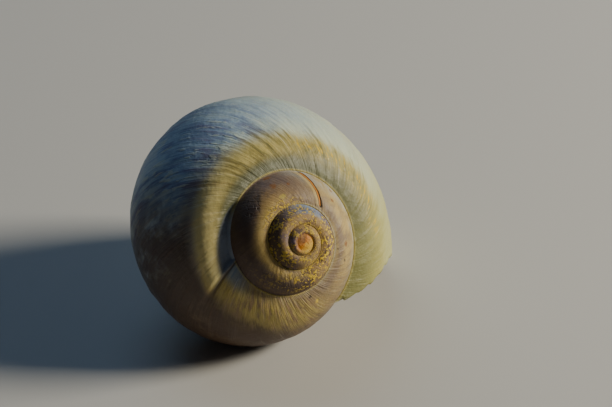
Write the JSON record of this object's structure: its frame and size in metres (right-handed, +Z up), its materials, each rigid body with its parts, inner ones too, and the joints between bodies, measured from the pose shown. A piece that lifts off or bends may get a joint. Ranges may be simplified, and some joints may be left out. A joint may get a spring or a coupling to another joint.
{
  "type": "land snail shell",
  "caption": "Empty coiled shell of a land snail, a thin-walled spiral tube with a low spire, lying mouth down; the hollow once held the animal.",
  "frame": {"origin": "on the ground, below the middle of the shell's bounding box", "axes": "+Z up as the shell lies mouth down; the coil's apex faces -Y and up, so -Y is the side the shell is looked at from; +X is towards the side of the mouth's lip"},
  "size_m": [0.0302, 0.031, 0.0239],
  "materials": {
    "shell_wall": "weathered, faintly glossy"
  },
  "bodies": {
    "root": {"shell": "shell_wall"}
  },
  "joints": []
}
